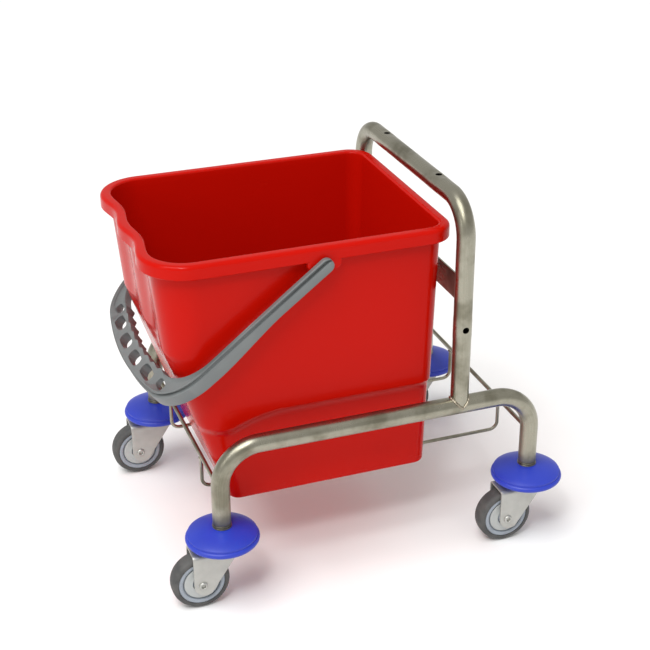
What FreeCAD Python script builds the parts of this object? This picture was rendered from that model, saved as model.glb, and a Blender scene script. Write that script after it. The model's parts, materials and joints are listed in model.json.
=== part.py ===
import FreeCAD, Part
import math
import os

V = FreeCAD.Vector
os.makedirs("parts", exist_ok=True)

# Driving dimensions, in millimetres.
# While it is built, x = 0 is midway between the legs, -X is the front and +X the push handle.

# Tubular frame
wheelbase = 450.0
track = 360.0
tube_r = 12.5
tube_wall = 1.5
rail_z = 233.0
rail_bend_r = 55.0
leg_end_z = 123.0
handle_x = 115.0
handle_z = 523.0
handle_bend_r = 48.0
bar_hole_pitch = 180.0
bar_hole_r = 4.5
upright_hole_z = 351.0
upright_hole_r = 4.5
strip_z = 402.0
strip_height = 36.0
strip_thick = 3.0

# Cradle of round rod and wire
rod_r = 3.0
rod_z = 170.0
wire_r = 2.5
wire_z = 120.0
wire_half_gap = 84.0
wire_bend_r = 12.0

# Bucket
wall = 3.0
rest_gap = 0.3
rim_z = 490.0
rim_front_x = -299.0
rim_rear_x = 110.0
rim_overhang = 12.0
rim_skirt = 19.0
rim_half_width = 168.0
rim_front_corner_r = 62.0
rim_rear_corner_r = 36.0
side_draft = 2.0
rear_draft = 1.5
front_draft = 5.0
crease_z = 352.0
lift_lean = 18.5
flute_depth = 7.0
flute_fade = 30.0
corner_shrink = 12.0
front_points = 20
recess_z = 259.0
recess_step = 26.0
recess_depth = 12.0
foot_shrink = 24.0
boss_half_width = 23.0
boss_drop = 9.0

# Bail handle
pivot_x = -73.0
pivot_z = 467.0
pin_r = 4.0
pin_clearance = 0.05
pin_length = 9.0
bail_droop = 37.5
bail_reach = 289.0
bail_side_gap = 0.6
arm_thick = 7.0
arm_height = 22.0
arm_straight = 150.0
grip_width = 30.0
grip_thick = 15.0
grip_bow_r = 550.0
grip_corner_r = 70.0
gusset_r = 84.0
cell_pitch = 51.0
cell_rib = 12.0
cell_length = cell_pitch - cell_rib
cell_width = 15.0
cell_taper = 0.7
end_cell_length = 24.0
end_cell_width = 12.0

# Castors
wheel_r = 40.0
tyre_width = 25.0
tyre_depth = 8.0
tyre_round = 7.0
tyre_facets = 6
core_inset = 1.0
hub_stand = 2.0
hub_round = 2.0
web_inset = 3.0
trail = 34.0
axle_r = 4.0
bush_wall = 2.0
running_gap = 0.05
bolt_head_r = 6.8
bolt_head_thick = 3.0
bolt_head_round = 1.2
fork_plate = 2.5
fork_side_gap = 3.5
crown_front = 17.0
crown_gap = 4.0
fork_foot_r = 16.0
fork_foot_lead = 4.0
disc_r = 50.0
disc_edge = 8.0
disc_base_z = 96.0
disc_chamfer = 2.0
disc_crest = 3.0
disc_facets = 12
stem_r = 6.0
race_r = 20.0
race_gap = 0.3
race_chamfer = 2.0
guard_r = 27.0
guard_thick = 1.5
guard_hub_r = 12.0
guard_seat = 4.0
guard_play = 0.5
plug_length = 30.0
plug_flange = 6.0
nut_across = 13.0
nut_height = 6.5
nut_thread_show = 1.0

half_base = wheelbase / 2
half_track = track / 2
FRONT, REAR = -half_base, half_base
LEFT, RIGHT = half_track, -half_track


def tube_path(points, bend_r):
    """Wire through the corner points, each inner corner rounded to bend_r."""
    edges = []
    start = points[0]
    for before, corner, after in zip(points, points[1:], points[2:]):
        to_before = (before - corner).normalize()
        to_after = (after - corner).normalize()
        reach = bend_r / math.tan(to_before.getAngle(to_after) / 2)
        first = corner + to_before * reach
        last = corner + to_after * reach
        bisector = (to_before + to_after).normalize()
        centre = corner + bisector * math.hypot(reach, bend_r)
        edges.append(Part.makeLine(start, first))
        edges.append(Part.Arc(first, centre - bisector * bend_r, last).toShape())
        start = last
    edges.append(Part.makeLine(start, points[-1]))
    return Part.Wire(edges)


def round_bar(points, bend_r, radius):
    """Solid round bar along the bent path."""
    path = tube_path(points, bend_r)
    heading = points[1] - points[0]
    profile = Part.Wire(Part.makeCircle(radius, points[0], heading))
    return path.makePipeShell([profile], True, False)


def mirror_y(shape):
    return shape.mirror(V(0, 0, 0), V(0, 1, 0))


# ---------------------------------------------------------------- tubular frame
def rail_points(side):
    return [
        V(FRONT, side, leg_end_z),
        V(FRONT, side, rail_z),
        V(REAR, side, rail_z),
        V(REAR, side, leg_end_z),
    ]


handle_points = [
    V(handle_x, RIGHT, rail_z),
    V(handle_x, RIGHT, handle_z),
    V(handle_x, LEFT, handle_z),
    V(handle_x, LEFT, rail_z),
]

rail_solids = {side: round_bar(rail_points(side), rail_bend_r, tube_r) for side in (LEFT, RIGHT)}
both_rails = rail_solids[LEFT].fuse(rail_solids[RIGHT])
handle_solid = round_bar(handle_points, handle_bend_r, tube_r)
handle_bore = round_bar(handle_points, handle_bend_r, tube_r - tube_wall)

nodes = {}
for side, word in ((LEFT, "left"), (RIGHT, "right")):
    bore = round_bar(rail_points(side), rail_bend_r, tube_r - tube_wall)
    nodes["side_rail_" + word] = rail_solids[side].cut(bore)

push_handle = handle_solid.cut(handle_bore).cut(both_rails)
for side in (-1, 1):
    bar_hole_at = V(handle_x, side * bar_hole_pitch / 2, handle_z - 2 * tube_r)
    bar_hole = Part.makeCylinder(bar_hole_r, 4 * tube_r, bar_hole_at)
    push_handle = push_handle.cut(bar_hole)
upright_hole = Part.makeCylinder(
    upright_hole_r, track + 4 * tube_r, V(handle_x, -half_track - 2 * tube_r, upright_hole_z), V(0, 1, 0)
)
push_handle = push_handle.cut(upright_hole)
nodes["push_handle"] = push_handle

strip = Part.makeBox(
    strip_thick, track, strip_height, V(handle_x - strip_thick, -half_track, strip_z - strip_height / 2)
)
nodes["cross_strip"] = strip.cut(handle_solid)

# ---------------------------------------------------------------- cradle
rods = {}
for x, word in ((FRONT, "front"), (REAR, "rear")):
    rods[word] = Part.makeCylinder(rod_r, track, V(x, -half_track, rod_z), V(0, 1, 0)).cut(both_rails)
    nodes["cross_rod_" + word] = rods[word]

for side, word in ((wire_half_gap, "left"), (-wire_half_gap, "right")):
    wire_points = [
        V(FRONT, side, rod_z),
        V(FRONT, side, wire_z),
        V(REAR, side, wire_z),
        V(REAR, side, rod_z),
    ]
    wire = round_bar(wire_points, wire_bend_r, wire_r)
    nodes["cradle_wire_" + word] = wire.cut(rods["front"]).cut(rods["rear"])

# ---------------------------------------------------------------- bucket
floor_z = wire_z + wire_r + rest_gap
tan_lean = math.tan(math.radians(lift_lean))


def outline(z, front_x, rear_x, half_width, front_r, rear_r, flute):
    """Closed plan outline at height z: fluted front, rounded corners, flat sides and rear."""
    bay = half_width - front_r
    front_y = [bay * (2.0 * k / front_points - 1) for k in range(front_points + 1)]
    front = [V(front_x + flute * 0.5 * (1 - math.cos(2 * math.pi * y / bay)), y, z) for y in front_y]
    curve = Part.BSplineCurve()
    curve.interpolate(Points=front, InitialTangent=V(0, 1, 0), FinalTangent=V(0, 1, 0))
    half = math.sqrt(0.5)

    def corner(cx, cy, r, sx, sy):
        ends = [V(cx + sx * r, cy, z), V(cx, cy + sy * r, z)]
        middle = V(cx + sx * r * half, cy + sy * r * half, z)
        return ends, middle

    front_cx = front_x + front_r
    rear_cx = rear_x - rear_r
    rear_cy = half_width - rear_r
    (fl_a, fl_b), fl_m = corner(front_cx, bay, front_r, -1, 1)
    (rl_a, rl_b), rl_m = corner(rear_cx, rear_cy, rear_r, 1, 1)
    (rr_a, rr_b), rr_m = corner(rear_cx, -rear_cy, rear_r, 1, -1)
    (fr_a, fr_b), fr_m = corner(front_cx, -bay, front_r, -1, -1)
    edges = [
        curve.toShape(),
        Part.Arc(fl_a, fl_m, fl_b).toShape(),
        Part.makeLine(fl_b, rl_b),
        Part.Arc(rl_b, rl_m, rl_a).toShape(),
        Part.makeLine(rl_a, rr_a),
        Part.Arc(rr_a, rr_m, rr_b).toShape(),
        Part.makeLine(rr_b, fr_b),
        Part.Arc(fr_b, fr_m, fr_a).toShape(),
    ]
    return Part.Wire(edges)


def rim_outline(z, inset):
    """Outline of the rim, moved in from its outer edge by inset."""
    return outline(
        z,
        rim_front_x + inset,
        rim_rear_x - inset,
        rim_half_width - inset,
        rim_front_corner_r - inset,
        rim_rear_corner_r - inset,
        flute_depth,
    )


def wall_outline(z, inset):
    """Outline of the wall at height z, moved in from its outer face by inset."""
    drop = rim_z - z
    side = rim_half_width - rim_overhang - drop * math.tan(math.radians(side_draft))
    rear = rim_rear_x - rim_overhang - drop * math.tan(math.radians(rear_draft))
    upper_drop = min(drop, rim_z - crease_z)
    lower_drop = drop - upper_drop
    front = rim_front_x + rim_overhang
    front += upper_drop * math.tan(math.radians(front_draft)) + lower_drop * tan_lean
    flute = flute_depth * (1 - min(lower_drop / flute_fade, 1.0))
    shrink = corner_shrink * drop / (rim_z - floor_z)
    below_step = max(recess_z - z, 0.0)
    side -= recess_depth * min(below_step / recess_step, 1.0)
    tighten = foot_shrink * below_step / (recess_z - floor_z)
    return outline(
        z,
        front + inset,
        rear - inset,
        side - inset,
        rim_front_corner_r - rim_overhang - shrink - tighten - inset,
        rim_rear_corner_r - rim_overhang - shrink / 2 - inset,
        flute,
    )


def bucket_form(inset, top_z):
    """Solid inside the wall's outer face moved in by inset, each flank stepped in below the rails."""
    heights = [floor_z + inset, recess_z - recess_step, recess_z, crease_z - flute_fade, crease_z, top_z]
    return Part.makeLoft([wall_outline(z, inset) for z in heights], True, True)


def slab_between(wire_at, low_z, high_z):
    return Part.Face(wire_at(low_z)).extrude(V(0, 0, high_z - low_z))


shell = bucket_form(0.0, rim_z)
cavity = bucket_form(wall, rim_z + 1)
rim = slab_between(lambda z: rim_outline(z, 0.0), rim_z - rim_skirt, rim_z)
rim_edges = [e for e in rim.Edges if abs(e.BoundBox.ZMin - rim_z) < 1e-6]
rim = rim.makeFillet(wall, rim_edges)
rim = rim.cut(slab_between(lambda z: rim_outline(z, wall), rim_z - rim_skirt - 1, rim_z - wall))
bucket = shell.fuse(rim)

boss_y = rim_half_width - wall / 2
boss_low = pivot_z - boss_drop
boss = Part.makeBox(
    2 * boss_half_width,
    wall + rim_overhang,
    rim_z - wall / 2 - boss_low,
    V(pivot_x - boss_half_width, boss_y - wall - rim_overhang, boss_low),
)
boss_edges = [
    e for e in boss.Edges
    if abs(e.BoundBox.ZMax - boss_low) < 1e-6 and e.BoundBox.YLength > wall
]
boss = boss.makeFillet(boss_drop, boss_edges)
boss_skin = boss_y + wall / 2
boss_pad = Part.makeCylinder(arm_height / 2, wall, V(pivot_x, boss_skin - wall, pivot_z), V(0, 1, 0))
pin_bore = Part.makeCylinder(
    pin_r + pin_clearance, pin_length + 1, V(pivot_x, boss_skin - pin_length - 1, pivot_z), V(0, 1, 0)
)
bosses = boss.fuse(boss_pad)
bucket = bucket.fuse(bosses).fuse(mirror_y(bosses)).cut(cavity)
bucket = bucket.cut(pin_bore).cut(mirror_y(pin_bore))
nodes["bucket"] = bucket.removeSplitter()

# ---------------------------------------------------------------- bail handle
# Drawn flat: x runs from the pivots to the grip (negative), y across, z through the thickness.
arm_inner = boss_skin + bail_side_gap
arm_outer = arm_inner + arm_thick


def grip_edges(reach, half_width, bow_r, corner_r):
    """Two arms joined by a bowed grip through rounded corners, from one arm end to the other."""
    bow_x = bow_r - reach
    corner_y = half_width - corner_r
    corner_x = bow_x - math.sqrt((bow_r - corner_r) ** 2 - corner_y ** 2)
    scale = bow_r / (bow_r - corner_r)
    meet_x = bow_x + (corner_x - bow_x) * scale
    meet_y = corner_y * scale
    lean = math.atan2(meet_y - corner_y, corner_x - meet_x)
    middle = (math.pi / 2 + lean) / 2
    mid_x = corner_x - corner_r * math.cos(middle)
    mid_y = corner_y + corner_r * math.sin(middle)
    return [
        Part.makeLine(V(-arm_straight, half_width, 0), V(corner_x, half_width, 0)),
        Part.Arc(V(corner_x, half_width, 0), V(mid_x, mid_y, 0), V(meet_x, meet_y, 0)).toShape(),
        Part.Arc(V(meet_x, meet_y, 0), V(-reach, 0, 0), V(meet_x, -meet_y, 0)).toShape(),
        Part.Arc(V(meet_x, -meet_y, 0), V(mid_x, -mid_y, 0), V(corner_x, -half_width, 0)).toShape(),
        Part.makeLine(V(corner_x, -half_width, 0), V(-arm_straight, -half_width, 0)),
    ]


outer_edges = grip_edges(bail_reach, arm_outer, grip_bow_r, grip_corner_r)
inner_edges = grip_edges(bail_reach - grip_width, arm_inner, grip_bow_r - grip_width, gusset_r)
ends = [
    Part.makeLine(V(-arm_straight, arm_outer, 0), V(-arm_straight, arm_inner, 0)),
    Part.makeLine(V(-arm_straight, -arm_inner, 0), V(-arm_straight, -arm_outer, 0)),
]
grip_wire = Part.Wire(Part.__sortEdges__(outer_edges + inner_edges + ends))
grip = Part.Face(grip_wire).extrude(V(0, 0, grip_thick))
grip.translate(V(0, 0, -grip_thick / 2))


def cell(x, y, length, width, turn):
    """Long six-sided window through the grip, its long axis along y before it is turned."""
    half_l = length / 2
    half_w = width / 2
    taper = half_w * cell_taper
    corners = [
        V(0, half_l, 0),
        V(half_w, half_l - taper, 0),
        V(half_w, -half_l + taper, 0),
        V(0, -half_l, 0),
        V(-half_w, -half_l + taper, 0),
        V(-half_w, half_l - taper, 0),
    ]
    prism = Part.Face(Part.makePolygon(corners + corners[:1])).extrude(V(0, 0, 2 * arm_height))
    prism.translate(V(x, y, -arm_height))
    prism.rotate(V(x, y, 0), V(0, 0, 1), turn)
    return prism


cell_r = grip_bow_r - grip_width / 2
bow_centre = grip_bow_r - bail_reach
for side in (-1, 1):
    for arc_length, length, width in (
        (cell_pitch * 0.5, cell_length, cell_width),
        (cell_pitch * 1.5, cell_length, cell_width),
        (cell_pitch * 2 + end_cell_length / 2 + cell_rib / 2, end_cell_length, end_cell_width),
    ):
        turn = side * arc_length / cell_r
        x = bow_centre - cell_r * math.cos(turn)
        grip = grip.cut(cell(x, cell_r * math.sin(turn), length, width, -math.degrees(turn)))

arm_side = [
    V(0, arm_inner, arm_height / 2),
    V(0, arm_inner, -arm_height / 2),
    V(-arm_straight, arm_inner, -grip_thick / 2),
    V(-arm_straight, arm_inner, grip_thick / 2),
]
arm = Part.Face(Part.makePolygon(arm_side + arm_side[:1])).extrude(V(0, arm_thick, 0))
arm_end = Part.makeCylinder(arm_height / 2, arm_thick, V(0, arm_inner, 0), V(0, 1, 0))
pin_reach = pin_length + bail_side_gap
pin = Part.makeCylinder(pin_r, pin_reach, V(0, arm_inner - pin_reach, 0), V(0, 1, 0))
arm = arm.fuse(arm_end).fuse(pin)
bail = grip.fuse(arm).fuse(mirror_y(arm)).removeSplitter()
bail.rotate(V(0, 0, 0), V(0, 1, 0), -bail_droop)
bail.translate(V(pivot_x, 0, pivot_z))
nodes["bail_handle"] = bail

# ---------------------------------------------------------------- castors
# Drawn with the swivel axis on z and the wheel trailing towards -X.


def turned(profile, base=V(0, 0, 0), axis=V(0, 0, 1)):
    """Solid of revolution of (radius, height) pairs about axis through base."""
    points = [V(r, 0, h) for r, h in profile]
    solid = Part.Face(Part.makePolygon(points + points[:1])).revolve(V(0, 0, 0), V(0, 0, 1), 360)
    solid.Placement = FreeCAD.Placement(base, FreeCAD.Rotation(V(0, 0, 1), axis))
    return solid


bore_r = axle_r + bush_wall
inner_half = tyre_width / 2 + fork_side_gap
outer_half = inner_half + fork_plate
rim_seat_r = wheel_r - tyre_depth
crown_z = 2 * wheel_r + crown_gap
disc_top_z = leg_end_z - plug_flange
race_z = crown_z + fork_plate + race_gap
axle_at = V(-trail, 0, wheel_r)
across = V(0, 1, 0)


def plug():
    body_r = tube_r - tube_wall
    return turned([
        (stem_r, disc_top_z),
        (tube_r, disc_top_z),
        (tube_r, leg_end_z),
        (body_r, leg_end_z),
        (body_r, leg_end_z + plug_length),
        (stem_r, leg_end_z + plug_length),
    ])


def bumper_disc():
    crest_r = tube_r + disc_crest
    dome = []
    for k in range(disc_facets + 1):
        turn = math.pi / 2 * k / disc_facets
        r = crest_r + (disc_r - crest_r) * math.sin(turn)
        z = disc_base_z + disc_edge + (disc_top_z - disc_base_z - disc_edge) * math.cos(turn)
        dome.append((r, z))
    profile = [
        (stem_r, disc_base_z),
        (disc_r - disc_chamfer, disc_base_z),
        (disc_r, disc_base_z + disc_chamfer),
    ] + dome[::-1] + [
        (stem_r, disc_top_z),
    ]
    return turned(profile)


def stem():
    return turned([
        (0, race_z),
        (stem_r, race_z),
        (stem_r, leg_end_z + plug_length),
        (0, leg_end_z + plug_length),
    ])


def race():
    return turned([
        (stem_r, race_z),
        (race_r - race_chamfer, race_z),
        (race_r, race_z + race_chamfer),
        (race_r, disc_base_z - race_chamfer),
        (race_r - race_chamfer, disc_base_z),
        (stem_r, disc_base_z),
    ])


def fork():
    """Pressed fork: an inverted U astride the wheel, upright behind the axle and sloping ahead of it."""
    foot_x = fork_foot_lead - trail
    back_x = foot_x - fork_foot_r
    top_z = crown_z + fork_plate
    run = crown_front - foot_x
    rise = crown_z - wheel_r
    lean = math.atan2(run, rise) + math.asin(fork_foot_r / math.hypot(run, rise))
    profile = [
        V(back_x, 0, top_z),
        V(back_x, 0, wheel_r),
        V(foot_x, 0, wheel_r),
        V(foot_x + fork_foot_r * math.cos(lean), 0, wheel_r - fork_foot_r * math.sin(lean)),
        V(crown_front, 0, crown_z),
        V(crown_front, 0, top_z),
    ]
    web = Part.Face(Part.makePolygon(profile + profile[:1])).extrude(V(0, 2 * outer_half, 0))
    web.translate(V(0, -outer_half, 0))
    foot = Part.makeCylinder(fork_foot_r, 2 * outer_half, V(foot_x, -outer_half, wheel_r), across)
    body = web.fuse(foot)
    body = body.cut(Part.makeBox(4 * wheel_r, 2 * inner_half, crown_z, V(-3 * wheel_r, -inner_half, 0)))
    body = body.cut(Part.makeCylinder(axle_r, 2 * outer_half, V(-trail, -outer_half, wheel_r), across))
    return body.removeSplitter()


def bush():
    sleeve = Part.makeCylinder(bore_r, 2 * inner_half, V(-trail, -inner_half, wheel_r), across)
    return sleeve.cut(Part.makeCylinder(axle_r, 2 * inner_half, V(-trail, -inner_half, wheel_r), across))


def axle_bolt():
    shank_length = 2 * outer_half + nut_height
    shank = Part.makeCylinder(axle_r, shank_length, V(-trail, -outer_half, wheel_r), across)
    head_y = -outer_half - bolt_head_thick
    head = Part.makeCylinder(bolt_head_r, bolt_head_thick, V(-trail, head_y, wheel_r), across)
    head = head.makeFillet(bolt_head_round, [e for e in head.Edges if abs(e.BoundBox.YMax - head_y) < 1e-6])
    return shank.fuse(head).removeSplitter()


def axle_nut():
    corner_r = nut_across / math.sqrt(3)
    corners = []
    for k in range(7):
        turn = math.radians(60 * k)
        corner_x = -trail + corner_r * math.cos(turn)
        corners.append(V(corner_x, outer_half, wheel_r + corner_r * math.sin(turn)))
    hexagon = Part.Face(Part.makePolygon(corners)).extrude(V(0, nut_height - nut_thread_show, 0))
    return hexagon.cut(Part.makeCylinder(axle_r, nut_height, V(-trail, outer_half, wheel_r), across))


def wheel_core():
    half = tyre_width / 2 - core_inset
    hub_half = half + hub_stand
    web_half = half - web_inset
    return turned([
        (bore_r + running_gap, -hub_half),
        (guard_hub_r - hub_round, -hub_half),
        (guard_hub_r, -web_half),
        (guard_r, -web_half),
        (guard_r, -half),
        (rim_seat_r, -half),
        (rim_seat_r, half),
        (guard_r, half),
        (guard_r, web_half),
        (guard_hub_r, web_half),
        (guard_hub_r - hub_round, hub_half),
        (bore_r + running_gap, hub_half),
    ], axle_at, across)


def tyre():
    half = tyre_width / 2
    shoulder = []
    for k in range(tyre_facets + 1):
        turn = math.pi / 2 * k / tyre_facets
        r = wheel_r - tyre_round * (1 - math.sin(turn))
        shoulder.append((r, half - tyre_round * (1 - math.cos(turn))))
    profile = [(rim_seat_r, -half), (wheel_r - tyre_round, -half)]
    profile += [(r, -h) for r, h in shoulder[1:]]
    profile += shoulder[::-1]
    profile += [(rim_seat_r, half)]
    return turned(profile, axle_at, across)


def guard(side):
    seat = side * (tyre_width / 2 - guard_seat)
    face = seat + side * guard_thick
    inner_r = guard_hub_r + 2 * guard_play
    outer_r = guard_r - guard_play
    return turned([(inner_r, seat), (outer_r, seat), (outer_r, face), (inner_r, face)], axle_at, across)


castor_pieces = {
    "stem_plug": plug(),
    "bumper_disc": bumper_disc(),
    "stem": stem(),
    "ball_race": race(),
    "fork": fork(),
    "axle_bush": bush(),
    "axle_bolt": axle_bolt(),
    "axle_nut": axle_nut(),
    "wheel_core": wheel_core(),
    "tyre": tyre(),
    "guard_inner": guard(1),
    "guard_outer": guard(-1),
}
for x, x_word in ((FRONT, "front"), (REAR, "rear")):
    for y, y_word in ((LEFT, "left"), (RIGHT, "right")):
        for name, piece in castor_pieces.items():
            placed = piece.copy()
            placed.translate(V(x, y, 0))
            nodes[name + "_" + x_word + "_" + y_word] = placed

# ---------------------------------------------------------------- origin and export
# The origin is on the floor under the middle of the whole trolley.
whole = Part.makeCompound(list(nodes.values())).optimalBoundingBox(False, False)
centre_shift = V(-(whole.XMin + whole.XMax) / 2, 0, 0)
for name, shape in nodes.items():
    shape.translate(centre_shift)
    shape.exportStep("parts/" + name + ".step")
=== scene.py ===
import json
import math

import bmesh
import bpy
import numpy as np
from mathutils import Matrix, Vector


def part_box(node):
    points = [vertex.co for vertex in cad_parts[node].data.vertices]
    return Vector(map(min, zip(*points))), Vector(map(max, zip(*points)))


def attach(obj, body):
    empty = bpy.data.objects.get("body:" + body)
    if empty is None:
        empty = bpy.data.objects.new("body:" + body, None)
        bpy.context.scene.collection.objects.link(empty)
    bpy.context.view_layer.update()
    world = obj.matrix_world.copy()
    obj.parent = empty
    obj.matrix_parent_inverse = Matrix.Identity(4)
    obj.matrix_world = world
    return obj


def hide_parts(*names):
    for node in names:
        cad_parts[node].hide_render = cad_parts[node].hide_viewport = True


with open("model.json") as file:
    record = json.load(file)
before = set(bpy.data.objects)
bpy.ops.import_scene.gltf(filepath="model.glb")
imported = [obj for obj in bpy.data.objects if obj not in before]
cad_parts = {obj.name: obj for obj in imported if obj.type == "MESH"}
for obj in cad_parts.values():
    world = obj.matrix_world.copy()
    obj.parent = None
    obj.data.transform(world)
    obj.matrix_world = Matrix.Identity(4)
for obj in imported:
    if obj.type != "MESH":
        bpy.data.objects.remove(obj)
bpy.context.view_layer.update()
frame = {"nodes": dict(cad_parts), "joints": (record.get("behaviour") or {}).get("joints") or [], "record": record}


# ---------------------------------------------------------------- studio
# A pale painted floor that runs out past the view, a soft lamp overhead, a weaker one low on the
# left, a broad glow from the ceiling, and a viewer in front of the trolley's right side.

class Socket:
    """A node's output that takes part in sums: each operator adds one Math node."""

    def __init__(self, finish, plug):
        self.finish, self.plug = finish, plug

    def join(self, operation, first, second):
        return self.finish.node("ShaderNodeMath", {"operation": operation}, {0: first, 1: second})

    def __add__(self, other):
        return self.join("ADD", self, other)

    def __sub__(self, other):
        return self.join("SUBTRACT", self, other)

    def __rsub__(self, other):
        return self.join("SUBTRACT", other, self)

    def __mul__(self, other):
        return self.join("MULTIPLY", self, other)

    __radd__ = __add__
    __rmul__ = __mul__


class Finish:
    """One material: its nodes come from node(), and shader() closes it."""

    def __init__(self, name):
        self.material = bpy.data.materials.new(name)
        self.material.use_nodes = True
        self.tree = self.material.node_tree
        self.tree.nodes.clear()

    def node(self, kind, settings, sockets, out=0):
        made = self.tree.nodes.new(kind)
        for key, value in settings.items():
            setattr(made, key, value)
        for key, value in sockets.items():
            if isinstance(value, Socket):
                self.tree.links.new(value.plug, made.inputs[key])
            else:
                made.inputs[key].default_value = value
        return Socket(self, made.outputs[out])

    def place(self):
        return self.node("ShaderNodeTexCoord", {}, {}, "Object")

    def laid(self):
        """Coordinates of a bar as if it were straight: across, across, along."""
        return self.node("ShaderNodeAttribute", {"attribute_name": "laid"}, {}, "Vector")

    def stretched(self, where, x, y, z):
        return self.node("ShaderNodeVectorMath", {"operation": "MULTIPLY"}, {0: where, 1: (x, y, z)})

    def cloud(self, where, scale, detail=3.0):
        sockets = {"Vector": where, "Scale": scale, "Detail": detail, "Roughness": 0.55}
        return self.node("ShaderNodeTexNoise", {}, sockets)

    def band(self, value, low, high, start=0.0, end=1.0):
        """Value carried smoothly from start to end as it goes from low to high."""
        return self.node(
            "ShaderNodeMapRange", {"interpolation_type": "SMOOTHSTEP"},
            {0: value, 1: low, 2: high, 3: start, 4: end},
        )

    def part(self, where, axis):
        """One of X, Y, Z of a vector."""
        return self.node("ShaderNodeSeparateXYZ", {}, {0: where}, axis)

    def tint(self, factor, first, second):
        """Colour mixed from first to second as factor goes from 0 to 1."""
        return self.node("ShaderNodeMix", {"data_type": "RGBA"}, {0: factor, 6: (*first, 1), 7: (*second, 1)}, 2)

    def bump(self, height, depth, strength=1.0):
        return self.node("ShaderNodeBump", {}, {"Height": height, "Distance": depth, "Strength": strength})

    def shader(self, sockets):
        made = self.node("ShaderNodeBsdfPrincipled", {}, sockets)
        output = self.tree.nodes.new("ShaderNodeOutputMaterial")
        self.tree.links.new(made.plug, output.inputs["Surface"])
        return self.material


painted = Finish("pale_floor")
speck = painted.cloud(painted.place(), 9.0)
floor_paint = painted.shader({
    "Base Color": painted.tint(speck, (0.93, 0.93, 0.93), (0.97, 0.97, 0.97)),
    "Roughness": painted.band(speck, 0.3, 0.7, 0.6, 0.72),
})
floor_mesh = bpy.data.meshes.new("floor")
floor_half = 14.0
floor_mesh.from_pydata([(x, y, 0.0) for x, y in ((-1, -1), (1, -1), (1, 1), (-1, 1))], [], [(0, 1, 2, 3)])
floor_mesh.transform(Matrix.Diagonal((floor_half, floor_half, 1, 1)))
floor_mesh.materials.append(floor_paint)
floor = bpy.data.objects.new("floor", floor_mesh)
bpy.context.scene.collection.objects.link(floor)

world = bpy.data.worlds.new("studio")
world.use_nodes = True
world.node_tree.nodes["Background"].inputs["Color"].default_value = (1.0, 0.985, 0.96, 1)
world.node_tree.nodes["Background"].inputs["Strength"].default_value = 0.62
bpy.context.scene.world = world
bpy.context.scene.view_settings.view_transform = "Standard"


def lamp(name, at, aim, width, power):
    """Square lamp of that width in metres and power in watts, aimed at a point."""
    light = bpy.data.lights.new(name, "AREA")
    light.shape, light.size, light.energy = "SQUARE", width, power
    holder = bpy.data.objects.new(name, light)
    heading = Vector(aim) - Vector(at)
    holder.matrix_world = Matrix.Translation(at) @ heading.to_track_quat("-Z", "Y").to_matrix().to_4x4()
    bpy.context.scene.collection.objects.link(holder)


lamp("overhead", (-0.9, -1.5, 2.2), (0.0, 0.0, 0.25), 0.4, 13)
lamp("window", (-2.4, -1.0, 1.3), (0.0, 0.0, 0.3), 0.7, 5)
sky = bpy.data.lights.new("ceiling", "SUN")
sky.energy, sky.angle = 1.8, math.radians(40)
ceiling = bpy.data.objects.new("ceiling", sky)
ceiling.matrix_world = Vector((0.42, 0.24, -1.0)).to_track_quat("-Z", "Y").to_matrix().to_4x4()
bpy.context.scene.collection.objects.link(ceiling)

turn, drop, roll = math.radians(19.75), math.radians(26.51), math.radians(-0.36)
look = Vector((math.sin(turn) * math.cos(drop), math.cos(turn) * math.cos(drop), -math.sin(drop)))
level = look.cross(Vector((0, 0, 1))).normalized()
upward = level.cross(look)
right = math.cos(roll) * level + math.sin(roll) * upward
above = math.cos(roll) * upward - math.sin(roll) * level
eye = bpy.data.cameras.new("viewer")
eye.sensor_width = 36.0
eye.lens = 78.0
eye.shift_x = 0.003
viewer = bpy.data.objects.new("viewer", eye)
facing = Matrix((right, above, -look)).transposed().to_4x4()
viewer.matrix_world = Matrix.Translation((-0.606, -1.6866, 1.187)) @ facing
bpy.context.scene.collection.objects.link(viewer)
bpy.context.scene.camera = viewer


# ---------------------------------------------------------------- side rails and push handle
# Stainless tube of 25 mm, 1.5 mm thick. Each rail is bent down at both ends into legs, and the
# push handle is an inverted U welded across them, pressed flat and drilled at four places.

MM = 0.001


def centre(node):
    """Middle of a CAD node's box, in millimetres."""
    low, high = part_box(node)
    return np.array((low + high) / 2) / MM


def bent_line(corners, bend_r, at=(0.0,)):
    """Centre line through corners in millimetres: straight runs joined by arcs of bend_r tangent to both.
    Gives points and unit directions at the distances 'at' along it, and its whole length."""
    corners = np.array(corners, float)
    runs = []
    start = corners[0]
    for before, corner, after in zip(corners, corners[1:], corners[2:]):
        back = (before - corner) / np.linalg.norm(before - corner)
        on = (after - corner) / np.linalg.norm(after - corner)
        half = math.acos(np.clip(back @ on, -1, 1)) / 2
        reach = bend_r / math.tan(half)
        middle = corner + (back + on) / np.linalg.norm(back + on) * bend_r / math.sin(half)
        first = corner + back * reach - middle
        side = -back
        sweep = np.linspace(0, math.pi - 2 * half, 40)[:, None]
        arc = middle + first * np.cos(sweep) + side * bend_r * np.sin(sweep)
        runs += [np.array([start]), arc]
        start = arc[-1]
    runs += [np.array([start, corners[-1]])]
    rough = np.concatenate(runs)
    rough = rough[np.r_[True, np.linalg.norm(np.diff(rough, axis=0), axis=1) > 1e-6]]
    travel = np.r_[0, np.cumsum(np.linalg.norm(np.diff(rough, axis=0), axis=1))]
    at = np.asarray(at, float)
    points = np.stack([np.interp(at, travel, rough[:, k]) for k in range(3)], 1)
    ahead = np.stack([np.interp(at + 0.4, travel, rough[:, k]) for k in range(3)], 1)
    behind = np.stack([np.interp(at - 0.4, travel, rough[:, k]) for k in range(3)], 1)
    heading = (ahead - behind) / np.linalg.norm(ahead - behind, axis=1)[:, None]
    return points, heading, travel[-1]


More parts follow.
